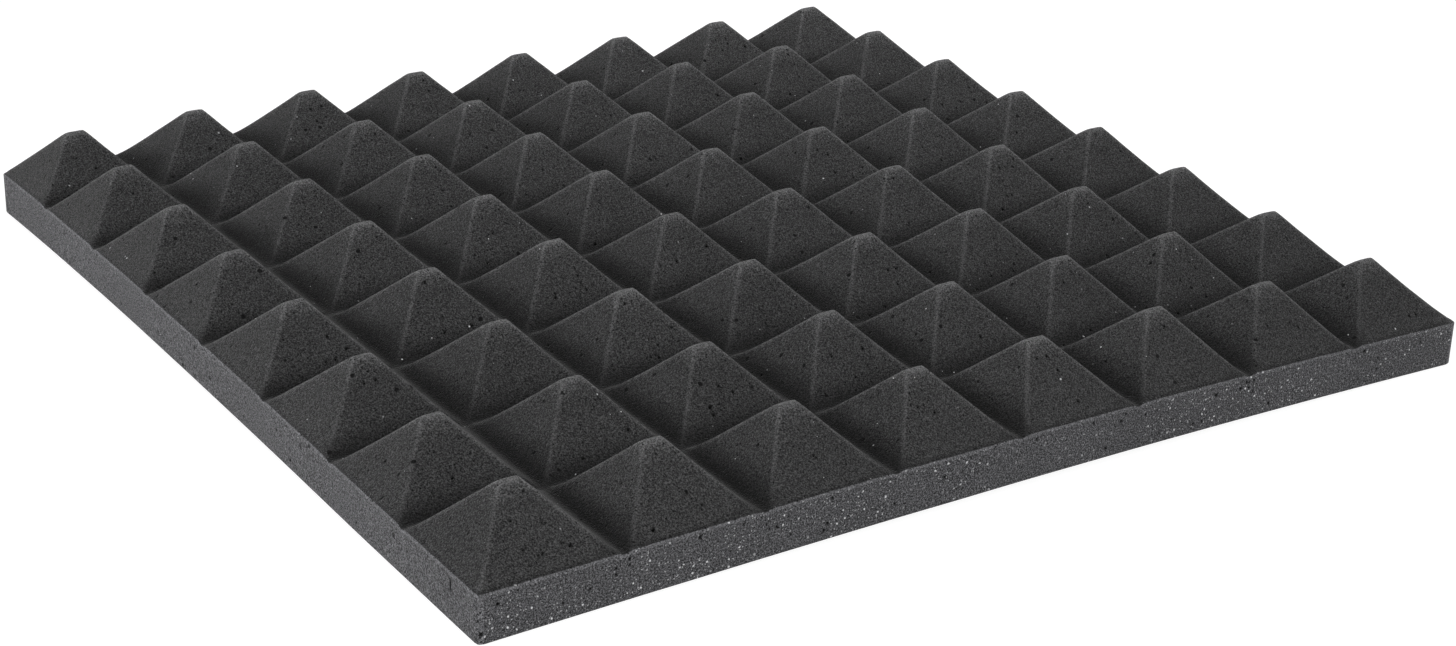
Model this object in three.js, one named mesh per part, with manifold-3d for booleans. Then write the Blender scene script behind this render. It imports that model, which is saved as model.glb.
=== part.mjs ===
// Acoustic foam panel: one square block of charcoal open-cell foam.
// A flat slab carries rows of four-sided pyramids, parted by straight grooves both ways.
// Lengths are millimetres. The origin is the middle of the flat back face, and +Z points
// from that face to the pyramid tips.

import * as THREE from 'three';
import { mergeVertices } from 'three/addons/utils/BufferGeometryUtils.js';
import Module from 'manifold-3d';

// The panel, as it is cut to size
const PANEL_SIDE = 500;
const SLAB_THICKNESS = 20;

// The pyramids. Eight stand in a row. The knife trims the sheet just inside its outer grooves.
const PYRAMIDS_PER_SIDE = 8;
const PYRAMID_HEIGHT = 26;
const EDGE_TRIM = 2;

// Each pyramid ends in a short crest that lies along X. It isn't a sharp point.
const CREST_LENGTH = 8.6;
const CREST_WIDTH = 1.8;
const CREST_ROUNDING = 1.6;

// The foam doesn't open to a sharp line at the bottom of a groove.
const GROOVE_ROUNDING = 2.9;

// How far the knife cuts run past the block, above and below
const KNIFE_OVERRUN = 5;

// Heights of the rings that draw a pyramid's flanks, as shares of its height
const FLANK_RING_SHARES = [0, 0.015, 0.06, 0.17];

// Heights of the rings on the rounded crest, as shares of the rounding's own height
const CREST_RING_SHARES = [0, 0.6, 1];

const PITCH = (PANEL_SIDE + 2 * EDGE_TRIM) / PYRAMIDS_PER_SIDE;
const HALF_PITCH = PITCH / 2;

// The flank of a pyramid along one axis, worked out from the crest's size on that axis.
// From the groove it rises along a curve that soon becomes a straight slope.
function flank(crestSize) {
  const reach = HALF_PITCH - crestSize / 2;
  const steepness = PYRAMID_HEIGHT / (Math.hypot(reach, GROOVE_ROUNDING) - GROOVE_ROUNDING);
  const slope = (steepness * reach) / Math.hypot(reach, GROOVE_ROUNDING);
  const angle = Math.atan(slope);
  const rounding = Math.min(CREST_ROUNDING, crestSize / 2 / Math.tan(angle / 2));
  return { crestSize, steepness, angle, rounding };
}

const alongX = flank(CREST_LENGTH);
const alongY = flank(CREST_WIDTH);

// Half of the pyramid's width along one axis, at a height above the groove
function halfWidth(side, height) {
  const { crestSize, steepness, angle, rounding } = side;
  const below = PYRAMID_HEIGHT - height;
  if (below < rounding * (1 - Math.cos(angle))) {
    const flat = crestSize / 2 - rounding * Math.tan(angle / 2);
    const across = Math.sqrt(Math.max(0, rounding ** 2 - (rounding - below) ** 2));
    return flat + across;
  }
  const inset = Math.sqrt((height / steepness + GROOVE_ROUNDING) ** 2 - GROOVE_ROUNDING ** 2);
  return HALF_PITCH - inset;
}

// Ring heights from the groove to the top of the crest
function ringHeights() {
  const rounding = Math.max(alongX.rounding, alongY.rounding);
  const angle = Math.max(alongX.angle, alongY.angle);
  const crestDrop = rounding * (1 - Math.cos(angle));
  const crestStart = PYRAMID_HEIGHT - crestDrop;
  const onFlank = FLANK_RING_SHARES.map((share) => share * crestStart);
  const onCrest = CREST_RING_SHARES.map((share) => crestStart + share * crestDrop);
  return [...onFlank, ...onCrest];
}

const RINGS = ringHeights().map((height) => ({
  height,
  halfX: halfWidth(alongX, height),
  halfY: halfWidth(alongY, height),
}));

// Collects triangles, and splits each four-sided face in two
class Facets {
  constructor() {
    this.points = [];
  }

  triangle(a, b, c) {
    this.points.push(...a, ...b, ...c);
  }

  quad(a, b, c, d) {
    this.triangle(a, b, c);
    this.triangle(a, c, d);
  }

  geometry() {
    const geometry = new THREE.BufferGeometry();
    geometry.setAttribute('position', new THREE.Float32BufferAttribute(this.points, 3));
    return mergeVertices(geometry);
  }
}

// The four corners of a ring, anticlockwise seen from above
function ringCorners(centreX, centreY, { height, halfX, halfY }) {
  const z = SLAB_THICKNESS + height;
  return [
    [centreX - halfX, centreY - halfY, z],
    [centreX + halfX, centreY - halfY, z],
    [centreX + halfX, centreY + halfY, z],
    [centreX - halfX, centreY + halfY, z],
  ];
}

// One pyramid's flanks and crest, and the square of the back face under it
function addPyramid(facets, centreX, centreY) {
  const rings = RINGS.map((ring) => ringCorners(centreX, centreY, ring));
  for (let level = 1; level < rings.length; level += 1) {
    const lower = rings[level - 1];
    const upper = rings[level];
    lower.forEach((corner, side) => {
      const next = (side + 1) % lower.length;
      facets.quad(corner, lower[next], upper[next], upper[side]);
    });
  }
  facets.quad(...rings[rings.length - 1]);
  const onBack = rings[0].map(([x, y]) => [x, y, 0]);
  facets.quad(onBack[3], onBack[2], onBack[1], onBack[0]);
}

// The middle of the pyramid at one step along a row
function stepPlace(step) {
  return (step - (PYRAMIDS_PER_SIDE - 1) / 2) * PITCH;
}

// The four walls of the sheet, before it is trimmed, one stretch for each pyramid
function addWalls(facets) {
  const edge = (PYRAMIDS_PER_SIDE * PITCH) / 2;
  const turns = [
    (along, z) => [along, -edge, z],
    (along, z) => [edge, along, z],
    (along, z) => [-along, edge, z],
    (along, z) => [-edge, -along, z],
  ];
  for (const place of turns) {
    for (let step = 0; step < PYRAMIDS_PER_SIDE; step += 1) {
      const start = stepPlace(step) - HALF_PITCH;
      const end = stepPlace(step) + HALF_PITCH;
      facets.quad(
        place(start, 0),
        place(end, 0),
        place(end, SLAB_THICKNESS),
        place(start, SLAB_THICKNESS),
      );
    }
  }
}

function sheetGeometry() {
  const facets = new Facets();
  for (let row = 0; row < PYRAMIDS_PER_SIDE; row += 1) {
    for (let column = 0; column < PYRAMIDS_PER_SIDE; column += 1) {
      addPyramid(facets, stepPlace(column), stepPlace(row));
    }
  }
  addWalls(facets);
  return facets.geometry();
}

// The space inside the four knife cuts
function knifeGeometry() {
  const tall = SLAB_THICKNESS + PYRAMID_HEIGHT + 2 * KNIFE_OVERRUN;
  const box = new THREE.BoxGeometry(PANEL_SIDE, PANEL_SIDE, tall);
  box.translate(0, 0, tall / 2 - KNIFE_OVERRUN);
  box.deleteAttribute('normal');
  box.deleteAttribute('uv');
  return mergeVertices(box);
}

const wasm = await Module();
wasm.setup();

function solidOf(geometry) {
  const mesh = new wasm.Mesh({
    numProp: 3,
    vertProperties: new Float32Array(geometry.getAttribute('position').array),
    triVerts: new Uint32Array(geometry.getIndex().array),
  });
  return new wasm.Manifold(mesh);
}

function geometryOf(solid) {
  const { vertProperties, triVerts } = solid.getMesh();
  const geometry = new THREE.BufferGeometry();
  geometry.setAttribute('position', new THREE.BufferAttribute(vertProperties, 3));
  geometry.setIndex(new THREE.BufferAttribute(triVerts, 1));
  geometry.computeVertexNormals();
  return geometry;
}

// Charcoal foam, dull all over
const foam = new THREE.MeshStandardMaterial({
  color: 0x3b3c40,
  roughness: 1,
  metalness: 0,
  flatShading: true,
});

const foamPanel = new THREE.Mesh(
  geometryOf(solidOf(sheetGeometry()).intersect(solidOf(knifeGeometry()))),
  foam,
);
foamPanel.name = 'foam_panel';

const panel = new THREE.Group();
panel.add(foamPanel);

export default panel;
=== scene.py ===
# %% [markdown]
# A pyramid foam panel for a studio wall
#
# The real object is one square block of charcoal, open-cell polyurethane foam. A profile
# cutter opens its face into rows of four-sided pyramids, and a knife trims it to a square.
# It is glued to a wall, where the pyramids break up and soak up sound. There is nothing
# else on it: no frame, no backing board and no fastener. So this lesson makes one closed
# mesh and spends its effort on the foam: the way it was cut, and how its cells look.
#
# The panel's construction is already settled in a CAD model, which is loaded as the frame.
# Its flat foam block is plain. The mesh made here takes its place and its size.

# %% Load the plain panel
import itertools
import math
import bpy
import numpy as np
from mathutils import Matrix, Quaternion, Vector, noise


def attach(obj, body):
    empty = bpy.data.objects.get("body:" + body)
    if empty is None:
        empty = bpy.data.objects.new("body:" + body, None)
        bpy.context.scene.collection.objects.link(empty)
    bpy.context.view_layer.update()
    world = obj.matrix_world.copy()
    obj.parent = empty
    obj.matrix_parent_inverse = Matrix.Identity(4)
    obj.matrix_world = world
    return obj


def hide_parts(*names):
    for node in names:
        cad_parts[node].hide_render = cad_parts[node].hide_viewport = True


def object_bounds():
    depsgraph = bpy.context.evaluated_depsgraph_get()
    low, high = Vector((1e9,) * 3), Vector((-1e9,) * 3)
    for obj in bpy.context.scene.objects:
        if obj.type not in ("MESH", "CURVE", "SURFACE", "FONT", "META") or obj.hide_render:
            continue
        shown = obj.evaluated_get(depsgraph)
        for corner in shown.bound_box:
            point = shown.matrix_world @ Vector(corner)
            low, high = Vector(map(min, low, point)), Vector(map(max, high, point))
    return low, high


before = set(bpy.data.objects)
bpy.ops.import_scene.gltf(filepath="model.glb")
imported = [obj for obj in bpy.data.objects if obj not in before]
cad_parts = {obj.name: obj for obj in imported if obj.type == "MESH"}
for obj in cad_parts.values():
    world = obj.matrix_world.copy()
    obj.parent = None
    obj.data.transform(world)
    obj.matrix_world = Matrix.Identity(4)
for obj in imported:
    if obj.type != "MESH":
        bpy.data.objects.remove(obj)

plain_low, plain_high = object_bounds()
panel_side = plain_high.x - plain_low.x
panel_height = plain_high.z - plain_low.z
print(f"the plain panel is {panel_side * 1000:.0f} mm square and {panel_height * 1000:.0f} mm high")

# %% [markdown]
# The camera
#
# The camera comes first, so that every later step can be judged in the photograph's view.
# It looks down over the panel's front left corner, from about 1.2 m away. A fit of the 64
# pyramid tips and the outer edges gave its place, its aim, its lens and a small roll. The
# alternative is to move it by eye, but then the rows of tips drift against the photograph.

# %% Camera
camera_place = Vector((-0.66279, -1.01325, 0.50320))
camera_aim = Vector((-0.03513, -0.08567, 0.02))
camera_roll = math.radians(1.81)
camera_lens = 67.61
sensor_width = 36

camera_data = bpy.data.cameras.new("panel_camera")
camera_data.sensor_width = sensor_width
camera_data.lens = camera_lens
camera = bpy.data.objects.new("panel_camera", camera_data)
camera.location = camera_place
camera.rotation_mode = "QUATERNION"
towards_panel = (camera_aim - camera_place).to_track_quat("-Z", "Y")
camera.rotation_quaternion = towards_panel @ Quaternion((0, 0, 1), camera_roll)
bpy.context.scene.collection.objects.link(camera)
bpy.context.scene.camera = camera
print(f"the camera is {(camera_aim - camera_place).length:.2f} m from the panel")

# %% [markdown]
# The pattern of the cut
#
# Eight pyramids stand in a row, and a groove runs between every two rows, both ways. The
# block was cut out of a larger sheet, about 2 mm inside its outer grooves. A pyramid
# doesn't end in a point. The cutter leaves a short crest, which lies along X.
#
# A height formula fits this better than pyramids modelled one by one: the whole face is
# one skin, and the formula gives its height anywhere.

# %% Sizes of the pattern
mm = 0.001
pyramids_per_side = 8
slab_thickness = 20 * mm
pyramid_height = panel_height - slab_thickness
edge_trim = 2 * mm
crest_length = 8.6 * mm
crest_width = 1.8 * mm
groove_rounding = 2.9 * mm

half_side = panel_side / 2
pitch = (panel_side + 2 * edge_trim) / pyramids_per_side
half_pitch = pitch / 2
print(f"the grooves are {pitch / mm:.0f} mm apart and {pyramid_height / mm:.0f} mm deep")

# %% [markdown]
# The height of the face
#
# From the middle of a groove a flank climbs along a curve that soon becomes a straight
# slope. Two such flanks cross at each point, one for X and one for Y, and the lower of
# them is the foam's surface. Taking the plain minimum would give knife-sharp ridges. Foam
# has none, so the minimum is a soft one, which rounds a ridge off over about a millimetre.
#
# The two flanks also tell how far a point is from a ridge: on a ridge they are equally
# high, and beside it their heights part at a steady rate. On a crest it is the height
# missing to the top. The paint uses this gap later for a painted highlight along the
# ridges and crests, for the light that the torn cells along a ridge catch.

# %% Height formula
ridge_softness = 0.42 * mm


def groove_distance(place):
    """Distance from the middle of the nearest groove"""
    return np.abs(place - pitch * np.round(place / pitch))


def climb(from_groove, reach):
    """Height of a flank at a distance from its groove, if it needs that reach to the crest"""
    steepness = pyramid_height / (math.hypot(reach, groove_rounding) - groove_rounding)
    return steepness * (np.hypot(from_groove, groove_rounding) - groove_rounding)


def face_height(x, y):
    """Height above the slab, and the gap in height to the nearest ridge or crest"""
    flanks = np.stack([
        climb(groove_distance(x), half_pitch - crest_length / 2),
        climb(groove_distance(y), half_pitch - crest_width / 2),
        np.full_like(x, pyramid_height),
    ])
    height = -ridge_softness * np.log(np.exp(-flanks / ridge_softness).sum(0))
    lowest, second, _ = np.sort(flanks, 0)
    return height, second - lowest


tip_height, _ = face_height(np.array([half_pitch]), np.array([half_pitch]))
print(f"a crest stands {(slab_thickness + tip_height[0]) / mm:.1f} mm above the back")

# %% [markdown]
# Mesh lines
#
# The face is a grid of mesh lines, laid so that the ridges fall on them. Both flanks of a
# pyramid get the same number of steps, so the line from a crest's end to the corner of the
# cell runs through grid points all the way. An even grid would cut across the ridges and
# make them look like saw teeth. The steps are shorter near the grooves and the crests,
# where the face bends.

# %% Lines across the panel
flank_steps = 14
crest_steps_along = 5
crest_steps_across = 2
step_crowding = 0.3
rim_rounding = 0.35 * mm
least_rim_step = 1.0 * mm


def mesh_lines(crest, crest_steps):
    """Places of the mesh lines along one axis, from one wall of the block to the other"""
    reach = half_pitch - crest / 2
    share = np.linspace(0, 1, flank_steps + 1)
    share = share - step_crowding * np.sin(2 * np.pi * share) / (2 * np.pi)
    over_crest = reach + crest * np.arange(1, crest_steps) / crest_steps
    over_one = np.concatenate([share * reach, over_crest, pitch - share[:0:-1] * reach])
    starts = (np.arange(pyramids_per_side) - pyramids_per_side / 2) * pitch
    lines = (starts[:, None] + over_one).ravel()
    inside = lines[np.abs(lines) < half_side - least_rim_step]
    rim = half_side - rim_rounding
    return np.concatenate([[-rim], inside, [rim]])


lines_x = mesh_lines(crest_length, crest_steps_along)
lines_y = mesh_lines(crest_width, crest_steps_across)
count_x = len(lines_x)
count_y = len(lines_y)
print(f"{count_x} by {count_y} mesh lines, {np.diff(lines_x).mean() / mm:.2f} mm apart")

# %% [markdown]
# Skin of the face
#
# Every crossing of two mesh lines becomes a point, and every four neighbours a face. The
# mesh is collected in plain arrays: points, and for each face its corners and the side of
# the block that it lies on. The sides matter later, when the foam is painted.

# %% Points and faces of the pyramids
FACE, FRONT, RIGHT, REAR, LEFT, BACK = range(6)

grid_x, grid_y = np.meshgrid(lines_x, lines_y, indexing="ij")
grid_height, grid_gap = face_height(grid_x, grid_y)
point_sets = [np.stack([grid_x, grid_y, slab_thickness + grid_height], -1).reshape(-1, 3)]
number = np.arange(count_x * count_y).reshape(count_x, count_y)
face_quads = np.stack(
    [number[:-1, :-1], number[1:, :-1], number[1:, 1:], number[:-1, 1:]], -1
).reshape(-1, 4)
print(f"{len(point_sets[0])} points and {len(face_quads)} faces on the pyramids")

# %% [markdown]
# Cut walls
#
# The four walls are plain knife cuts. They hang from the rim of the pyramids' skin as rows
# of points, one row below the other. The rim and the bottom edge are slightly rounded, and
# the four upright corners follow an arc of 2 mm, because foam doesn't hold a sharp edge.
# Near a corner each point of the rim is therefore drawn in along its diagonal, towards the
# middle of the panel, until it lies on that arc.

# %% Rim of the walls
corner_rounding = 2.2 * mm
very_close = 0.01 * mm


def round_the_border():
    """Grid numbers round the rim, anticlockwise from the front left corner, and their sides"""
    front = [(i, 0, FRONT) for i in range(count_x - 1)]
    right = [(count_x - 1, j, RIGHT) for j in range(count_y - 1)]
    rear = [(i, count_y - 1, REAR) for i in range(count_x - 1, 0, -1)]
    left = [(0, j, LEFT) for j in range(count_y - 1, 0, -1)]
    return np.array(front + right + rear + left)


border = round_the_border()
rim_numbers = number[border[:, 0], border[:, 1]]
rim = point_sets[0][rim_numbers]
rim_place = half_side - rim_rounding
from_corner = rim_place - np.abs(rim[:, :2]).min(1)
at_corner = from_corner < very_close
turned = np.clip(corner_rounding - from_corner, 0, None)
over_arc = corner_rounding + turned
drawn_in = (over_arc - np.sqrt(over_arc ** 2 - 2 * turned ** 2)) / 2
rim[:, :2] *= (1 - drawn_in / rim_place)[:, None]
point_sets[0][rim_numbers] = rim
print(f"{len(rim)} points round the rim, drawn in by up to {drawn_in.max() / mm:.1f} mm")

# %% [markdown]
# Rows of the walls
#
# Each row repeats the rim at its own height. The first row below the rim is close to it, so
# that the rounding stays tight, and the rest share out the height evenly. The last two go
# round the bottom edge. Their places are given as shares of the rounding, inwards and up.

# %% Points and faces of the walls
wall_rows = 8
first_wall_row = 1.1 * mm
bottom_rounding = 0.6 * mm
bottom_arc = [(0.28, 0.3), (1, 0)]

wall_top = rim[:, 2] - rim_rounding
second_row = wall_top - first_wall_row
rows = [(0, wall_top)]
rows += [(0, bottom_rounding + (second_row - bottom_rounding) * share)
         for share in np.linspace(1, 0, wall_rows)]
rows += [(inset * bottom_rounding, np.full(len(rim), z * bottom_rounding))
         for inset, z in bottom_arc]

rings = [rim_numbers]
next_number = number.size
for inset, heights in rows:
    scale = (half_side - inset - drawn_in) / (rim_place - drawn_in)
    point_sets.append(np.column_stack([rim[:, :2] * scale[:, None], heights]))
    rings.append(next_number + np.arange(len(rim)))
    next_number += len(rim)

wall_quads = np.concatenate([
    np.stack([upper, lower, np.roll(lower, -1), np.roll(upper, -1)], -1)
    for upper, lower in zip(rings[:-1], rings[1:])
])
wall_sides = np.tile(border[:, 2], len(rings) - 1)
print(f"{len(wall_quads)} faces on the four walls, in {len(rings) - 1} rows")

# %% [markdown]
# Back face
#
# The back isn't seen in the photograph. It is taken as one plain knife cut, which also suits
# the glue. It needs far fewer mesh lines than the front, so only every sixth one is used.
# Along its edge each face takes in all the points of the wall above it, which keeps the mesh
# closed.

# %% Points and faces of the back
back_step = 6


def lines_on_back(count):
    """Numbers of the mesh lines that the back keeps, counted out from the middle one"""
    inner = np.arange((count // 2) % back_step, count, back_step)
    inner = inner[(inner > 1) & (inner < count - 2)]
    return [0, *inner.tolist(), count - 1]


kept_x = lines_on_back(count_x)
kept_y = lines_on_back(count_y)
inner_x, inner_y = np.meshgrid(kept_x[1:-1], kept_y[1:-1], indexing="ij")
on_back = np.zeros((count_x, count_y), int)
on_back[border[:, 0], border[:, 1]] = rings[-1]
on_back[inner_x, inner_y] = next_number + np.arange(inner_x.size).reshape(inner_x.shape)
inner_places = np.stack([lines_x[inner_x], lines_y[inner_y], 0 * inner_x], -1).reshape(-1, 3)
point_sets.append(inner_places * (half_side - bottom_rounding) / rim_place)


def walk(start, end):
    """Point numbers from one crossing towards the next, with each point between on the rim"""
    (i, j), (k, m) = start, end
    on_rim = (i == k and i in (0, count_x - 1)) or (j == m and j in (0, count_y - 1))
    steps = max(abs(k - i), abs(m - j)) if on_rim else 1
    return [int(on_back[i + (k - i) * s // steps, j + (m - j) * s // steps]) for s in range(steps)]


back_faces = []
for i, k in zip(kept_x[:-1], kept_x[1:]):
    for j, m in zip(kept_y[:-1], kept_y[1:]):
        corners = [(i, j), (i, m), (k, m), (k, j)]
        ways = zip(corners, corners[1:] + corners[:1])
        back_faces.append([n for start, end in ways for n in walk(start, end)])
print(f"{len(back_faces)} faces on the back")

# %% [markdown]
# One set of points
#
# The parts of the skin are now joined. Each point also gets marks for the paint: how far it
# is from a ridge, how deep it stands in a groove, whether it lies on a knife cut, how much it
# glints and how deep it lies in a pore. A mark is a number that the mesh carries along, so
# the paint follows the shape without any picture.
#
# The mark for the ridges is the gap that the height formula gave. The rims and the upright
# corners of the block are torn in the same way, so they count as ridges too and get the
# same painted highlight.

# %% Join the points and mark the ridges
far_from_ridge = 9 * mm
rim_gap = 0.5 * mm
below_rim_gap = 1.4 * mm

points = np.concatenate(point_sets)
ridge_gap = np.full(len(points), far_from_ridge)
ridge_gap[:number.size] = np.minimum(grid_gap, far_from_ridge).ravel()
# Rims and upright corners get a small gap too, which puts the ridges' painted highlight on them.
for ring in rings[:2]:
    ridge_gap[ring] = np.minimum(ridge_gap[ring], rim_gap)
ridge_gap[rings[2]] = below_rim_gap
beside_corner = np.roll(at_corner, 1) | np.roll(at_corner, -1)
for ring in rings[2:]:
    ridge_gap[ring[beside_corner]] = below_rim_gap
    ridge_gap[ring[at_corner]] = rim_gap
print(f"{len(points)} points in the skin, {np.count_nonzero(ridge_gap < rim_gap)} of them on a ridge")

# %% [markdown]
# Painted shade in the grooves
#
# Light hardly gets down between two pyramids. In the photograph the grooves are darker still
# than the render's own shadow, so the foam there also gets painted shade. The mark for it
# grows from nothing, 15 mm from a groove, to 1 in its middle. The outermost flanks face the
# open room, so only a narrow strip inside the rim counts as a groove there and gets the shade.

# %% Mark the grooves
groove_top = 15 * mm
rim_dark_from = 2 * mm
rim_dark_rate = 4

outside_x = np.abs(grid_x) > half_side + edge_trim - half_pitch
outside_y = np.abs(grid_y) > half_side + edge_trim - half_pitch
inside_rim_x = rim_dark_from + rim_dark_rate * (groove_distance(grid_x) - edge_trim)
inside_rim_y = rim_dark_from + rim_dark_rate * (groove_distance(grid_y) - edge_trim)
to_groove_x = np.where(outside_x, inside_rim_x, groove_distance(grid_x))
to_groove_y = np.where(outside_y, inside_rim_y, groove_distance(grid_y))
to_groove = np.minimum(to_groove_x, to_groove_y).ravel()
# This mark sets the painted shade in the grooves and in the strip just inside the rim.
in_groove = np.zeros(len(points))
in_groove[:number.size] = np.clip(1 - to_groove / groove_top, 0, 1)
print(f"{np.count_nonzero(in_groove)} points stand in a groove")

# %% [markdown]
# Cut sides
#
# The walls and the back were opened by a knife, which leaves paler foam and many open cell
# windows, which show as painted glints. The rim itself is half cut and half face, which makes a
# soft change of tone between them. The left wall has far fewer specks in the photograph, because
# few of its windows face a lamp, so it gets a smaller share of the painted glints.

# %% Mark the cuts
rim_cut_share = 0.5
# The left wall gets a smaller share of the painted glints, since few of its cell windows face a lamp.
left_glints = 0.3

on_cut = np.ones(len(points))
on_cut[:number.size] = 0
on_cut[rim_numbers] = rim_cut_share
in_pore = np.zeros(len(points))
glinting = on_cut.copy()
for ring in rings:
    glinting[ring[border[:, 2] == LEFT]] = left_glints
print(f"{np.count_nonzero(on_cut == 1)} points lie on a cut")

# %% [markdown]
# A slit in the left wall
#
# The photograph shows one small flaw: 2 cm from the front corner, the left wall has a fine
# upright slit of about 6 mm. Five neighbouring columns of wall points are enough for it. The
# outer four are drawn together, and the middle one is pushed into the foam. For each of the
# outer four the list gives its step from the middle one, where it goes and how much painted
# shade it gets. The middle one gets the full painted shade of a pore's floor.

# %% Slit
slit_place = -half_side + 21 * mm
slit_low = 13 * mm
slit_high = 19 * mm
slit_depth = 2.5 * mm
slit_reach = 3
slit_columns = [(-2, 1.0 * mm, 0), (-1, 0.4 * mm, 0.8), (1, -0.4 * mm, 0.8), (2, -1.0 * mm, 0)]

left_steps = np.flatnonzero(border[:, 2] == LEFT)
slit_step = left_steps[np.argmin(np.abs(rim[left_steps, 1] - slit_place))]
slit_faces = []
for row, ring in enumerate(rings):
    if slit_low < points[ring[slit_step], 2] < slit_high:
        bottom = ring[slit_step]
        points[bottom, 0] += slit_depth
        # The slit's floor gets the full painted shade of a pore.
        in_pore[bottom] = 1
        for step, place, darkness in slit_columns:
            points[ring[slit_step + step], 1] = points[bottom, 1] + place
            in_pore[ring[slit_step + step]] = darkness
        for level in (row - 1, row):
            start = level * len(rim) + slit_step
            slit_faces += range(start - slit_reach, start + slit_reach)
slit_faces = np.unique(slit_faces)
print(f"the slit opens {len(slit_faces)} faces of the left wall")

# %% [markdown]
# Pores
#
# Foam is a froth that has set. Here and there a bubble was bigger than the rest, and where
# the cut opens it, it shows as a dark round pit of 1 to 2 mm. Painted dots would do from
# afar, but a pit that is really there shades itself from every side. So a few hundred
# faces of the mesh are chosen by a seeded draw, and each gets a ring of eight points with a
# smaller ring below it. Eight small faces fill the frame between the ring and the face's own
# corners. In the list of them, the letters are those corners and the numbers are points of
# the ring. The finer cells, under a millimetre, are left to the paint.

# %% Helper that opens pores
pore_seed = 39
pore_draw = np.random.default_rng(pore_seed)
pore_radius = (0.4 * mm, 1.0 * mm)
pore_depth_share = (1.4, 2.4)
pore_floor_share = 0.62
most_of_face_share = 0.42
pore_wobble_share = 0.25
pore_corners = 8

AROUND_PORE = [
    ("C", 1, 0), ("C", "D", 2, 1), ("D", 3, 2), ("D", "A", 4, 3),
    ("A", 5, 4), ("A", "B", 6, 5), ("B", 7, 6), ("B", "C", 0, 7),
]


def unit(vectors):
    return vectors / np.linalg.norm(vectors, axis=-1, keepdims=True)


def pore_rings(corners):
    """The ring at the mouth of a pore and the one at its floor, for each four-cornered face"""
    across = corners[:, 1] - corners[:, 0] + corners[:, 2] - corners[:, 3]
    upward = corners[:, 3] - corners[:, 0] + corners[:, 2] - corners[:, 1]
    half_width, half_height = (np.linalg.norm(v, axis=1) / 2 for v in (across, upward))
    widest = most_of_face_share * np.minimum(half_width, half_height)
    across, upward = unit(across), unit(upward)
    radius = np.minimum(pore_draw.uniform(*pore_radius, len(corners)), widest)[:, None]
    depth = radius * pore_draw.uniform(*pore_depth_share, radius.shape)
    wobble = 1 - pore_wobble_share * pore_draw.random((len(corners), pore_corners))
    turn = np.pi * (2 * np.arange(pore_corners) + 1) / pore_corners
    out = np.cos(turn)[:, None] * across[:, None] + np.sin(turn)[:, None] * upward[:, None]
    spokes = (radius * wobble)[..., None] * out
    middle = corners.mean(1)[:, None]
    inward = -unit(np.cross(across, upward))[:, None] * depth[..., None]
    return middle + spokes, middle + pore_floor_share * spokes + inward


def open_pores(quads, first_number):
    """New points and the faces that take each quad's place: those around the pore, then its own"""
    mouth, floor = pore_rings(points[quads])
    around, inside = [], []
    for quad, start in zip(quads.tolist(), itertools.count(first_number, 2 * pore_corners)):
        named = dict(zip("ABCD", quad))
        top = [start + k for k in range(pore_corners)]
        low = [n + pore_corners for n in top]
        around += [[named[c] if c in named else top[c] for c in face] for face in AROUND_PORE]
        inside += [[top[k - 1], top[k], low[k], low[k - 1]] for k in range(pore_corners)]
        inside.append(low)
    return np.concatenate([mouth, floor], 1).reshape(-1, 3), around, inside


print(f"a pore adds {2 * pore_corners} points")

# %% [markdown]
# Where the pores lie
#
# The knife cuts through more large cells than the profile cutter does, so the walls get
# more pores for their area than the pyramids. The photograph shows nearly none on the left
# wall, perhaps because it was cut with a fresher knife, so few are drawn there.
# On the pyramids more of them show on the flanks that look to the front and the rear, and
# most in the front rows. Each face gets a chance that follows this, which looks more natural
# than an even draw. Faces on a ridge, on the rim and in the slit stay whole, because a pit
# there would tear the outline.

# %% Chances on the pyramids
ridge_stays_whole = 3 * mm
sideways_chance = 0.4
rearmost_chance = 0.5

clear = grid_gap > ridge_stays_whole
quiet = clear[:-1, :-1] & clear[1:, :-1] & clear[1:, 1:] & clear[:-1, 1:]
quiet[:2] = quiet[-2:] = False
quiet[:, :2] = quiet[:, -2:] = False
plain_faces = np.flatnonzero(quiet.ravel())
climb_x = climb(groove_distance(grid_x), half_pitch - crest_length / 2)
climb_y = climb(groove_distance(grid_y), half_pitch - crest_width / 2)
looks_sideways = (climb_x < climb_y)[:-1, :-1].ravel()[plain_faces]
how_far_back = (grid_y[:-1, :-1].ravel()[plain_faces] + half_side) / panel_side
face_chance = np.where(looks_sideways, sideways_chance, 1.0)
face_chance *= 1 + (rearmost_chance - 1) * how_far_back
face_chance /= face_chance.sum()
print(f"{len(plain_faces)} faces of the pyramids may open")

# %% Chances on the walls and the back
left_wall_chance = 0.12

plain_walls = np.arange(2 * len(rim), wall_rows * len(rim))
plain_walls = np.setdiff1d(plain_walls, slit_faces)
plain_back = [n for n, face in enumerate(back_faces) if len(face) == 4]
wall_chance = np.where(wall_sides[plain_walls] == LEFT, left_wall_chance, 1.0)
wall_chance /= wall_chance.sum()
print(f"{len(plain_walls)} faces of the walls and {len(plain_back)} of the back may open")

# %% Open the pores
pores_on_pyramids = 440
pores_on_walls = 130
pores_on_back = 150

face_pick = pore_draw.choice(plain_faces, pores_on_pyramids, replace=False, p=face_chance)
wall_pick = pore_draw.choice(plain_walls, pores_on_walls, replace=False, p=wall_chance)
back_pick = pore_draw.choice(plain_back, pores_on_back, replace=False)
picked = np.concatenate([
    face_quads[face_pick], wall_quads[wall_pick], np.array([back_faces[n] for n in back_pick])
])
picked_sides = np.concatenate([
    np.full(pores_on_pyramids, FACE), wall_sides[wall_pick], np.full(pores_on_back, BACK)
])
new_points, around, inside = open_pores(picked, len(points))
points = np.concatenate([points, new_points])
print(f"{len(picked)} pores, {len(points)} points now")

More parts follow.
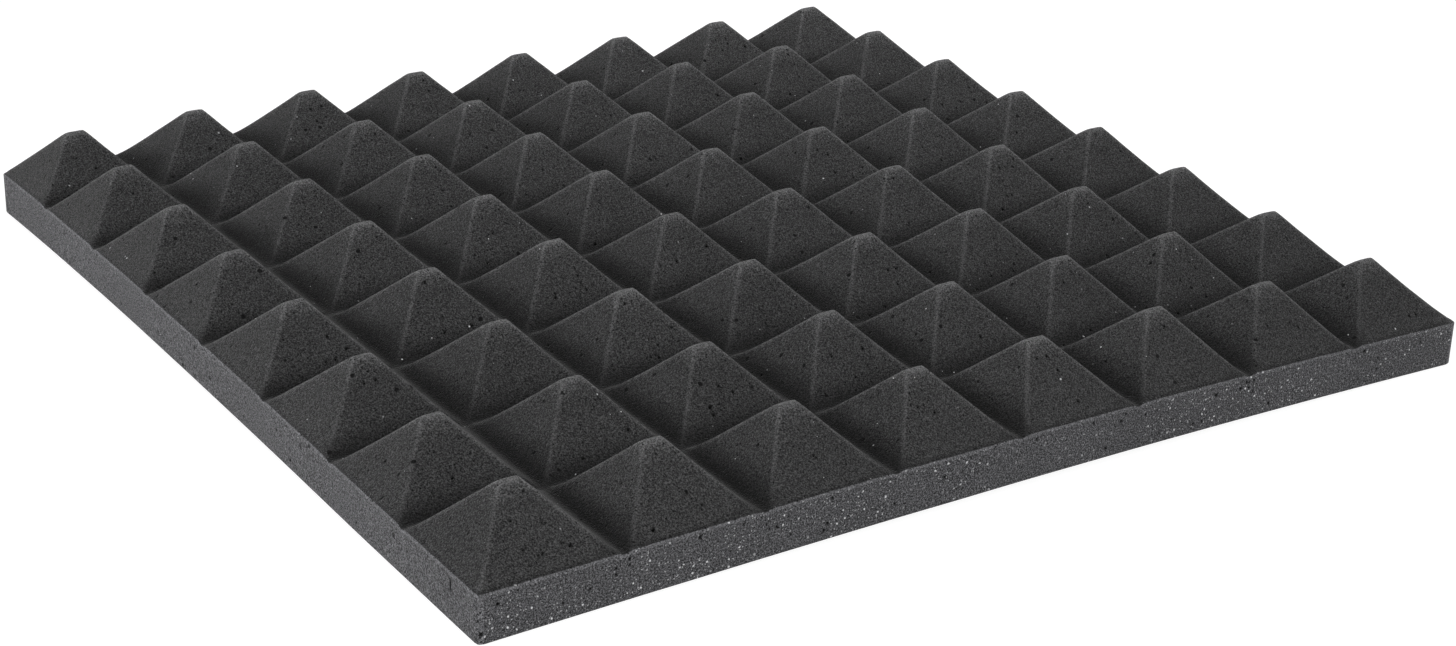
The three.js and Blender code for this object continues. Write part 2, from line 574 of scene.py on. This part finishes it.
# %% [markdown]
# Painted shade in the pores
#
# A pit of a millimetre shades itself, but its walls are also open to the dark foam behind
# them, so painted shade darkens it further. Its floor gets the full mark and its mouth a part
# of it. The painted shade of the mouth runs out over the face around it. The faces of the back
# are large, so there the mouth is hardly darkened, and the painted shade stays inside.

# %% Marks in the pores
mouth_mark = 0.65
mouth_mark_on_back = 0.05

per_pore = 2 * pore_corners
ridge_gap = np.concatenate([ridge_gap, np.full(len(new_points), far_from_ridge)])
in_groove = np.concatenate([in_groove, np.repeat(in_groove[picked[:, 0]], per_pore)])
on_cut = np.concatenate([on_cut, np.repeat(picked_sides != FACE, per_pore)])
glinting = np.concatenate([glinting, np.zeros(len(new_points))])
# The pore mark sets painted shade: full on a pore's floor, a part of it at the mouth.
at_mouth = np.tile(np.arange(per_pore) < pore_corners, len(picked))
mouth_marks = np.where(picked_sides == BACK, mouth_mark_on_back, mouth_mark)
in_pore = np.concatenate([in_pore, np.where(at_mouth, np.repeat(mouth_marks, per_pore), 1)])
print(f"{np.count_nonzero(in_pore)} points are dark")

# %% [markdown]
# Folds along the ridges
#
# A ridge runs from corner to corner through the faces of the grid. Blender splits such a
# bent face along either of its diagonals, and where it takes the wrong one the ridge gets
# a notch. So these faces are split by hand, along the diagonal whose ends are both on the
# ridge.

# %% Split the faces on a ridge
fold_below = 0.5 * mm
fold_share = 0.4


def fold(quad):
    """The quad itself, or its two halves where one of its diagonals is a ridge"""
    a, b, c, d = quad
    first = ridge_gap[a] + ridge_gap[c]
    second = ridge_gap[b] + ridge_gap[d]
    if first < min(fold_below, fold_share * second):
        return [[a, b, c], [a, c, d]]
    if second < min(fold_below, fold_share * first):
        return [[a, b, d], [b, c, d]]
    return [quad]


whole_face = [half for quad in np.delete(face_quads, face_pick, 0).tolist() for half in fold(quad)]
print(f"{len(whole_face) + len(face_pick) - len(face_quads)} faces folded along a ridge")

# %% [markdown]
# All the faces together
#
# The faces are listed once more, without those that a pore took, and each keeps the side
# of the block that it lies on. Faces inside a pore and in the slit are shaded flat, so that
# their dark walls don't smear over the foam around them.

# %% List the faces
whole_wall = np.delete(wall_quads, wall_pick, 0).tolist()
opened_on_back = set(back_pick.tolist())
whole_back = [face for n, face in enumerate(back_faces) if n not in opened_on_back]
faces = whole_face + whole_wall + whole_back + around + inside
sides = np.concatenate([
    np.full(len(whole_face), FACE),
    np.delete(wall_sides, wall_pick),
    np.full(len(whole_back), BACK),
    np.repeat(picked_sides, pore_corners),
    np.repeat(picked_sides, pore_corners + 1),
])
in_slit = np.delete(np.isin(np.arange(len(wall_quads)), slit_faces), wall_pick)
shaded_flat = np.zeros(len(faces), bool)
shaded_flat[len(whole_face):len(whole_face) + len(whole_wall)] = in_slit
shaded_flat[len(faces) - len(inside):] = True
print(f"{len(faces)} faces, {sum(len(face) - 2 for face in faces)} triangles")

# %% [markdown]
# How the sheet sways
#
# The pattern is made, and what is left are small smooth moves of all its points. No row of a
# real sheet is quite straight, because the sheet sways under the cutter. Noise gives that: it
# wanders smoothly from place to place, further at the tips than at the walls. A second, finer
# noise makes the rim a little uneven. How far up its pyramid a point stands is worked out
# here too. It is the last mark for the paint.
#
# Blender's noise starts from the clock, so it gets a seed first. Without one, the sheet would
# sway differently each time that the lesson is run.

# %% Sway of the sheet
wall_sway = 0.25 * mm
tip_sway = 0.5 * mm
sway_length = 55 * mm
tip_rise = 0.35 * mm
dent = 0.14 * mm
dent_length = 9 * mm
dent_fade = 8
sway_seed = 58

noise.seed_set(sway_seed)


def drift(places, length):
    """A smooth wandering value in each direction, from about -1 to 1"""
    return np.array([noise.noise_vector(Vector(p)) for p in (places / length).tolist()])


flat_points = points.copy()
# How far up its pyramid a point stands also sets the painted highlight on the upper part of each
# pyramid.
up_pyramid = np.clip((flat_points[:, 2] - slab_thickness) / pyramid_height, 0, 1)
up_wall = np.clip(flat_points[:, 2] / slab_thickness, 0, 1)
sway = drift(flat_points * (1, 1, 0), sway_length)
dents = drift(flat_points, dent_length)
points[:, :2] += sway[:, :2] * (wall_sway + tip_sway * up_pyramid)[:, None]
points[:, 2] += sway[:, 2] * tip_rise * up_pyramid
points[:, 2] += dents[:, 2] * dent * up_wall ** dent_fade
print(f"no point sways further than {np.abs(points - flat_points).max() / mm:.1f} mm")

# %% [markdown]
# Shifts of the pattern and the cuts
#
# Some moves aren't chance. In the photograph the columns are a little unevenly spaced, and
# the pyramids of the front row lean back, most at the left. Nor did the knife follow the
# pattern exactly: the left and the right cut are up to 4 mm askew to it. Each pair of values
# for a cut is its shift at the front and at the rear. The alternative, to turn the whole
# block, would set the rows askew as well.

# %% Shifts of the pattern and the cuts
squeeze = 0.7 * mm
squeeze_turns = 4
left_askew = (-1.3 * mm, 1.7 * mm)
right_askew = (3.6 * mm, 0.0)
askew_reach = 27 * mm
front_lean = (-1.1 * mm, 2.7 * mm)
leaning_rows = 2
lean_end = 0.5
lean_fade = 0.5

across, along = (flat_points[:, :2] / half_side).T
points[:, 0] -= squeeze * np.cos(squeeze_turns * across) * up_pyramid
to_rear = (along + 1) / 2
near_wall = np.clip(1 - (half_side - np.abs(flat_points[:, 0])) / askew_reach, 0, 1) ** 2
left_shift = left_askew[0] + (left_askew[1] - left_askew[0]) * to_rear
right_shift = right_askew[0] + (right_askew[1] - right_askew[0]) * to_rear
points[:, 0] += near_wall * np.where(across < 0, left_shift, right_shift)
rows_back = flat_points[:, 1] / pitch + pyramids_per_side / 2
in_front_row = np.clip(leaning_rows - rows_back, 0, 1)
leans = in_front_row * np.clip((lean_end - across) / lean_fade, 0, 1) * up_pyramid
points[:, :2] += leans[:, None] * front_lean
print(f"the cuts are askew by up to {max(np.abs(left_askew + right_askew)) / mm:.1f} mm")

# %% [markdown]
# How the sheet bends
#
# Foam is packed and shipped in piles, and it keeps a little of that bend. The photograph
# shows the middle of each side a few millimetres off the ground, while the corners touch it.
# Each bend is a low arch from one side of the sheet to the other. Its three values are its
# height in the middle, and how much higher it gets towards the right and towards the rear. A
# simulation could drop the sheet on the floor, but it wouldn't keep this one copy's bend.

# %% Bend of the sheet
bend_along_x = (1.9 * mm, 0.6 * mm, -1.3 * mm)
bend_along_y = (4.6 * mm, 1.5 * mm, 2.4 * mm)
both_bends = 1.5 * mm

arch_x = 1 - across ** 2
arch_y = 1 - along ** 2
place_factors = np.stack([np.ones_like(across), across, along])
lift_x = bend_along_x @ place_factors
lift_y = bend_along_y @ place_factors
points[:, 2] += arch_x * lift_x + arch_y * lift_y + both_bends * arch_x * arch_y
lowest, highest = points[:, 2].min(), points[:, 2].max()
print(f"the foam now reaches from {lowest / mm:.1f} to {highest / mm:.1f} mm")

# %% [markdown]
# The mesh
#
# Points and faces now become one object. Before anything is painted, it is worth counting
# how many faces meet at each edge: two everywhere means that the skin is closed, so it has
# an inside and an outside and can be printed or simulated.

# %% Make the foam mesh
foam_mesh = bpy.data.meshes.new("pyramid_foam")
foam_mesh.from_pydata(points.tolist(), [], faces)
foam_mesh.polygons.foreach_set("use_smooth", ~shaded_flat)
marks = {
    "ridge_gap": ridge_gap, "in_groove": in_groove,
    "on_cut": on_cut, "in_pore": in_pore, "up_pyramid": up_pyramid, "glinting": glinting,
}
for name, values in marks.items():
    foam_mesh.attributes.new(name, "FLOAT", "POINT").data.foreach_set("value", values)
foam_mesh.update()

panel_foam = bpy.data.objects.new("pyramid_foam", foam_mesh)
bpy.context.scene.collection.objects.link(panel_foam)

corner_edges = np.empty(len(foam_mesh.loops), int)
foam_mesh.loops.foreach_get("edge_index", corner_edges)
faces_at_edge = np.bincount(corner_edges)
print(f"{np.count_nonzero(faces_at_edge != 2)} of {len(faces_at_edge)} edges are open")

# %% [markdown]
# Unwrapping
#
# The paint itself needs no unwrapping, because it is worked out from places in space. But
# whoever wants the colour as a picture has to lay the skin flat. An automatic unwrap
# cuts the pyramids into hundreds of scraps. Here the block is laid out to a given plan instead:
# the face as one large square, the four walls as strips beside it, and the back in two
# halves above. Each corner is placed by where its point lay before the sheet was bent.

# %% Lay the skin flat
square = 0.745
margin = 0.004
column_start = 0.757
strip_width = 0.055
strip_step = 0.06
strip_height_shown = 22 * mm
back_width = 0.49
back_height = 0.2395
second_back_start = 0.506

corner_points = np.empty(len(foam_mesh.loops), int)
foam_mesh.loops.foreach_get("vertex_index", corner_points)
corner_counts = [len(face) for face in faces]
corner_sides = np.repeat(sides, corner_counts)
along_x, along_y, up = flat_points[corner_points].T
share_x = along_x / panel_side + 0.5
share_y = along_y / panel_side + 0.5
middle_y = np.repeat([flat_points[face, 1].mean() for face in faces], corner_counts)
rear_half = middle_y > 0

flat_u = margin + square * share_x
flat_v = margin + square * share_y
for strip, side in enumerate((FRONT, RIGHT, REAR, LEFT)):
    here = corner_sides == side
    along_wall = share_x if side in (FRONT, REAR) else share_y
    flat_u[here] = column_start + strip * strip_step + strip_width * up[here] / strip_height_shown
    flat_v[here] = margin + square * along_wall[here]
on_back_side = corner_sides == BACK
back_start = np.where(rear_half, second_back_start, margin)
flat_u[on_back_side] = (back_start + back_width * share_x)[on_back_side]
flat_v[on_back_side] = (column_start + back_height * (2 * share_y - rear_half))[on_back_side]

unwrap = foam_mesh.uv_layers.new(name="OFBake")
unwrap.data.foreach_set("uv", np.column_stack([flat_u, flat_v]).ravel())
least, most = min(flat_u.min(), flat_v.min()), max(flat_u.max(), flat_v.max())
print(f"unwrapped between {least:.3f} and {most:.3f}")

# %% [markdown]
# Painting without pictures
#
# The foam's paint is a graph of nodes. A small helper keeps that readable: it adds a node,
# and each input that it is given is either a number, which is set, or another node's
# output, which is linked.

# %% Helper for node graphs
class Graph:
    """Adds nodes to a node tree"""

    def __init__(self, tree):
        self.tree = tree
        tree.nodes.clear()

    def add(self, kind, inputs=None, **settings):
        made = self.tree.nodes.new("ShaderNode" + kind)
        for name, value in settings.items():
            setattr(made, name, value)
        for name, value in (inputs or {}).items():
            if isinstance(value, bpy.types.NodeSocket):
                self.tree.links.new(value, made.inputs[name])
            else:
                made.inputs[name].default_value = value
        return made

    def calculate(self, operation, *values):
        """The result of one step of arithmetic"""
        return self.add("Math", dict(enumerate(values)), operation=operation).outputs[0]

    def ramp(self, value, start, end, low=0.0, high=1.0):
        """low up to start, high from end on, and a smooth change between them"""
        inputs = {"Value": value, "From Min": start, "From Max": end, "To Min": low, "To Max": high}
        return self.add("MapRange", inputs, interpolation_type="SMOOTHSTEP").outputs["Result"]


print("node helper ready")

# %% [markdown]
# The colour of the foam
#
# Seen close, charcoal foam isn't one grey. Its cells are half a millimetre to a millimetre
# wide, and each is a tiny cup with a lit side and a shaded side. Larger cells show as dark
# dots. Thin windows that were left in some cells flash white where they face a lamp. And
# the tone drifts a little from place to place, because the froth isn't even.
#
# Each of these gets its own layer, at its real size, and they are multiplied together. All
# of them are worked out from places in the foam, so they have no seams and look the same
# from every side. First come the small helpers that every layer uses.

# %% Foam: helpers
charcoal_foam = bpy.data.materials.new("charcoal_foam")
charcoal_foam.use_nodes = True
foam = Graph(charcoal_foam.node_tree)
place_in_foam = foam.add("TexCoord").outputs["Object"]

spot_share = 0.7


def mark(name):
    return foam.add("Attribute", attribute_name=name).outputs["Fac"]


def swing(value, gain):
    """1 where value is a half, and gain more or less than 1 at its ends"""
    from_half = foam.calculate("SUBTRACT", value, 0.5)
    twice_gain = foam.calculate("MULTIPLY", gain, 2.0)
    return foam.calculate("MULTIPLY_ADD", from_half, twice_gain, 1.0)


def grain(size, detail=1.0, roughness=0.6):
    """Noise with spots of about one size, in metres, around a half"""
    inputs = {"Vector": place_in_foam, "Scale": spot_share / size}
    inputs |= {"Detail": detail, "Roughness": roughness}
    return foam.add("TexNoise", inputs).outputs["Fac"]


def times(*factors):
    """The product of several values"""
    product = factors[0]
    for factor in factors[1:]:
        product = foam.calculate("MULTIPLY", product, factor)
    return product


print("foam helpers: mark, swing, grain, times")

# %% [markdown]
# Tone
#
# The plain tone comes from the marks. The cut walls are twice as light as the face, because
# the knife leaves open, torn cells there. Along a ridge and on a crest a narrow band gets a
# painted highlight, for the light that the torn cells there catch, and a little noise frays
# the edge of that band. The upper part of each pyramid gets a broader painted highlight, and
# the grooves and pores get painted shade. The whole drifts a little over some centimetres.

# %% Foam: tone of the face, the cuts and the ridges
face_tone = 0.051
cut_tone = 0.108
# The next values, down to the pores' shade, set painted light: shade in the grooves, a highlight on
# the pyramids' tops and along the ridges, and shade in the pores.
groove_shade_share = 0.16
open_groove = 0.22
crest_start = 0.7
crest_highlight = 0.6
ridge_highlight = 0.7
ridge_width = 2.4 * mm
fray_size = 1.1 * mm
ridge_wander = 0.6 * mm
pore_shade = 0.95
drift_length = 45 * mm
drift_gain = 0.16

# Noise frays the edge of the band of painted highlight along the ridges and crests.
torn = foam.calculate("SUBTRACT", grain(fray_size), 0.5)
frayed_ridge_gap = foam.calculate("MULTIPLY_ADD", torn, ridge_wander, mark("ridge_gap"))
# The groove, crest, ridge and pore ramps below paint light and shade into the tone: painted shade in
# grooves and pores, painted highlights on the tops and ridges.
tone = times(
    foam.ramp(mark("on_cut"), 0.0, 1.0, face_tone, cut_tone),
    foam.ramp(mark("in_groove"), open_groove, 1.0, 1.0, groove_shade_share),
    foam.ramp(mark("up_pyramid"), crest_start, 1.0, 1.0, 1 + crest_highlight),
    swing(grain(drift_length), drift_gain),
    foam.ramp(frayed_ridge_gap, 0.0, ridge_width, 1 + ridge_highlight, 1.0),
    foam.ramp(mark("in_pore"), 0.0, 1.0, 1.0, 1 - pore_shade),
)
print("foam tone: height, drift, ridges and pores")

# %% [markdown]
# Froth and dots
#
# A cell texture scatters one point in each small cube of space and gives the distance to
# the nearest one. Read as brightness, that distance is a froth: dark in the middle of each
# cell and light on the walls between them.
#
# Dots come from the same texture. Around a point there is a round blob in the foam, and
# where the surface cuts through it, it shows as a dot. Random numbers for each point decide
# its radius and whether it is there at all. A little noise is first added to the place, so
# that the dots aren't perfect discs.

# %% Foam: helpers for cells and dots
warp_size = 1.2 * mm
warp_reach = 0.7 * mm
dot_edge = 0.6


def froth(size):
    """Distance from the nearest cell's middle, as a share of the size of a cell"""
    return foam.add("TexVoronoi", {"Vector": place_in_foam, "Scale": 1 / size}).outputs["Distance"]


def vector(operation, inputs):
    return foam.add("VectorMath", inputs, operation=operation).outputs[0]


warp = foam.add("TexNoise", {"Vector": place_in_foam, "Scale": 1 / warp_size, "Detail": 0.0})
centred = vector("SUBTRACT", {0: warp.outputs["Color"], 1: (0.5, 0.5, 0.5)})
shift = vector("SCALE", {0: centred, "Scale": warp_reach})
warped_place = vector("ADD", {0: place_in_foam, 1: shift})


def dots(spacing, smallest, largest, kept_share):
    """1 inside each dot and 0 outside, with the least and the greatest radius of a dot"""
    cells = foam.add("TexVoronoi", {"Vector": warped_place, "Scale": 1 / spacing})
    draw = foam.add("SeparateColor", {"Color": cells.outputs["Color"]}).outputs
    kept = foam.calculate("LESS_THAN", draw["Red"], kept_share)
    radius = foam.ramp(draw["Green"], 0.0, 1.0, smallest / spacing, largest / spacing)
    depth = foam.calculate("DIVIDE", cells.outputs["Distance"], radius)
    return times(foam.ramp(depth, dot_edge, 1.0, 1.0, 0.0), kept)


print("foam helpers: froth, dots")

# %% [markdown]
# Cells and holes
#
# The froth is the size of the real cells, and a finer noise over it breaks up their walls.
# Along the torn ridges the grain is weaker. Two sizes of dot make the larger cells: pinholes
# up to a millimetre wide, close together, and a few open cells up to two or three.

# %% Foam: cells and holes
cell_size = 0.65 * mm
cell_wall = (0.12, 0.8)
cell_contrast = (0.5, 1.45)
fine_grain = 0.5 * mm
fine_spread = (0.3, 0.7)
fine_contrast = 0.88
cut_contrast = 0.22
ridge_contrast_share = 0.4
pinhole_shade = 0.85
open_cell_shade = 0.92

cells = froth(cell_size)
fine = grain(fine_grain, detail=2.0, roughness=0.85)
pinholes = dots(spacing=1.9 * mm, smallest=0.3 * mm, largest=0.6 * mm, kept_share=0.6)
open_cells = dots(spacing=7.6 * mm, smallest=0.6 * mm, largest=1.4 * mm, kept_share=0.45)
contrast = times(
    foam.calculate("MULTIPLY_ADD", mark("on_cut"), cut_contrast, fine_contrast),
    foam.ramp(frayed_ridge_gap, 0.0, ridge_width, ridge_contrast_share, 1.0),
)
holes = foam.calculate("MAXIMUM", times(pinholes, pinhole_shade), times(open_cells, open_cell_shade))
tone = times(
    tone,
    foam.ramp(cells, *cell_wall, *cell_contrast),
    swing(foam.ramp(fine, *fine_spread), contrast),
    foam.calculate("SUBTRACT", 1.0, holes),
)
print("foam cells: froth, fine grain, two sizes of hole")

# %% [markdown]
# Glints
#
# The bright specks are cell windows that happen to face a lamp. To model each as a mirror
# would need a very fine render, and most would miss the lamp. Pale dots look the same in any
# light. They are small and dense on the cuts and rare on the pyramids, and a slow noise
# gathers them in swarms.

# %% Foam: glints
sparkle_strength = 0.6
swarm_length = 28 * mm
swarm_edge = (0.4, 0.6)
between_swarms = 0.25

glints_on_face = dots(spacing=6 * mm, smallest=0.25 * mm, largest=0.5 * mm, kept_share=0.4)
cut_dots = dots(spacing=3.2 * mm, smallest=0.25 * mm, largest=0.6 * mm, kept_share=0.6)
glints_on_cut = times(cut_dots, mark("glinting"))
fine_dots = dots(spacing=1.3 * mm, smallest=0.2 * mm, largest=0.4 * mm, kept_share=0.5)
sparkle = times(fine_dots, mark("glinting"), sparkle_strength)
swarm = foam.ramp(grain(swarm_length), *swarm_edge, between_swarms, 1.0)
large_glints = foam.calculate("MAXIMUM", glints_on_face, glints_on_cut)
glints = times(foam.calculate("MAXIMUM", large_glints, sparkle), swarm)
print("foam glints: two sizes on the cuts, one on the pyramids")

# %% [markdown]
# How the foam takes light
#
# Foam is dull: light goes into the cells and comes out scattered. So the shader is rough
# all over. At a grazing angle one looks along the torn cell walls that stand up from the
# surface, and they catch the light as the pile of a cloth does. That is why a ridge seen
# against a darker groove has a pale rim. The shader's sheen does this. The bump repeats
# the holes and the grain, with a depth of some tenths of a millimetre.

# %% Foam: shader
glint_colour = (0.9, 0.9, 0.92, 1)
blue_on_face = 1.015
blue_on_cuts = 1.05
relief = 0.5 * mm
relief_strength = 0.6
roughness = (1.0, 0.85)
rough_cell = (0.1, 0.8)

bluish = foam.ramp(mark("on_cut"), 0.0, 1.0, blue_on_face, blue_on_cuts)
dark = foam.add("CombineColor", {"Red": tone, "Green": tone, "Blue": times(tone, bluish)})
colour = foam.add("Mix", data_type="RGBA")
foam.tree.links.new(glints, colour.inputs["Factor"])
foam.tree.links.new(dark.outputs["Color"], colour.inputs[6])
colour.inputs[7].default_value = glint_colour

height = foam.calculate("SUBTRACT", foam.calculate("ADD", cells, fine), holes)
bump = foam.add("Bump", {"Height": height, "Distance": relief, "Strength": relief_strength})
shader = foam.add("BsdfPrincipled", {
    "Base Color": colour.outputs[2],
    "Roughness": foam.ramp(cells, *rough_cell, *roughness),
    "Specular IOR Level": 0.15,
    "Sheen Weight": 0.2,
    "Sheen Roughness": 0.3,
    "Sheen Tint": (1, 1, 1, 1),
    "Normal": bump.outputs["Normal"],
})
foam.add("OutputMaterial", {"Surface": shader.outputs["BSDF"]})
foam_mesh.materials.append(charcoal_foam)
print(f"the foam's material has {len(foam.tree.nodes)} nodes")

# %% [markdown]
# Floor and backdrop
#
# The photograph has a pure white ground. More light would burn the foam out, so the white
# comes from the floor's own colour: rays from the camera see a floor that glows almost
# white by itself, and a little diffuse on top of it, which still shows the panel's shadow.
# Every other ray sees plain pale paint, so the foam gets the soft light from below that it
# would get in a studio.

# %% Floor and sky
floor_reach = 6.0
floor_drop = 0.2 * mm
floor_paint = 0.8
floor_glow = 0.93
floor_shadow = 0.25
sky_light = 0.03


def seen_directly(graph):
    """1 for rays that show the background: from the camera, or through gloss or glass"""
    path = graph.add("LightPath").outputs
    indirect = graph.calculate("MAXIMUM", path["Is Glossy Ray"], path["Is Transmission Ray"])
    return graph.calculate("MAXIMUM", path["Is Camera Ray"], indirect)


floor_mesh = bpy.data.meshes.new("floor")
four_ways = [(-1, -1), (1, -1), (1, 1), (-1, 1)]
floor_corners = [(x * floor_reach, y * floor_reach, -floor_drop) for x, y in four_ways]
floor_mesh.from_pydata(floor_corners, [], [range(4)])
floor = bpy.data.objects.new("floor", floor_mesh)
bpy.context.scene.collection.objects.link(floor)

pale_paint = bpy.data.materials.new("pale_floor")
pale_paint.use_nodes = True
paint = Graph(pale_paint.node_tree)
shade = paint.add("BsdfDiffuse", {"Color": (floor_shadow, floor_shadow, floor_shadow, 1)})
glow = paint.add("Emission", {"Color": (1, 1, 1, 1), "Strength": floor_glow})
shown = paint.add("AddShader")
paint.tree.links.new(shade.outputs[0], shown.inputs[0])
paint.tree.links.new(glow.outputs[0], shown.inputs[1])
plain = paint.add("BsdfDiffuse", {"Color": (floor_paint, floor_paint, floor_paint, 1)})
either = paint.add("MixShader", {"Fac": seen_directly(paint)})
paint.tree.links.new(plain.outputs[0], either.inputs[1])
paint.tree.links.new(shown.outputs[0], either.inputs[2])
paint.add("OutputMaterial", {"Surface": either.outputs[0]})
floor_mesh.materials.append(pale_paint)

world = bpy.data.worlds.new("studio_air")
world.use_nodes = True
air = Graph(world.node_tree)
strength = air.ramp(seen_directly(air), 0.0, 1.0, sky_light, 1.0)
sky = air.add("Background", {"Color": (1, 1, 1, 1), "Strength": strength})
air.add("OutputWorld", {"Surface": sky.outputs[0]})
bpy.context.scene.world = world
print(f"a floor of {2 * floor_reach:.0f} m and a sky of strength {sky_light}")

# %% [markdown]
# Lamps
#
# The photograph's light is soft and comes from all round. It is strongest from the left
# rear, where the cut wall is palest, and from high up on the right of the front. Some smaller
# lamps stand nearer, because the light falls off across the panel. One even sky would be
# simpler, but it would take the shape out of the pyramids. Each lamp is a square with a
# place, a side length and a power, and all of them look at the middle of the panel.

# %% Lamps
lamps = {
    "left": ((-1.80, -0.25, 0.38), 0.8, 1.5),
    "left_rear": ((-1.80, 0.93, 0.38), 0.8, 9.4),
    "near_left": ((-0.86, 0.30, 0.32), 0.4, 1.5),
    "near_corner": ((-0.62, -0.62, 0.35), 0.4, 1.5),
    "near_front": ((-0.10, -0.95, 0.35), 0.5, 0.9),
    "front_right": ((1.61, -0.93, 0.40), 0.8, 3.4),
    "right_high": ((1.30, -0.90, 1.00), 0.8, 6.8),
    "rear_right": ((1.31, 1.31, 0.40), 0.8, 1.8),
    "top_right": ((0.45, 0.30, 0.55), 0.3, 1.3),
    "top_middle": ((-0.10, -0.10, 0.55), 0.3, 0.6),
    "top_rear": ((0.30, 0.52, 0.55), 0.3, 0.6),
}


def hang_lamp(name, place, side, power):
    data = bpy.data.lights.new(name + "_lamp", "AREA")
    data.size = side
    data.energy = power
    lamp = bpy.data.objects.new(name + "_lamp", data)
    lamp.location = place
    lamp.visible_camera = False
    lamp.rotation_euler = (-Vector(place)).to_track_quat("-Z", "Y").to_euler()
    bpy.context.scene.collection.objects.link(lamp)


for name, (place, side, power) in lamps.items():
    hang_lamp(name, place, side, power)
print(f"{len(lamps)} lamps, {sum(power for _, _, power in lamps.values()):.1f} W together")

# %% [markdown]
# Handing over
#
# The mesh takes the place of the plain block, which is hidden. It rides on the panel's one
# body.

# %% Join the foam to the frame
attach(panel_foam, "root")
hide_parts("foam_panel")

bpy.context.scene.view_settings.view_transform = "Standard"
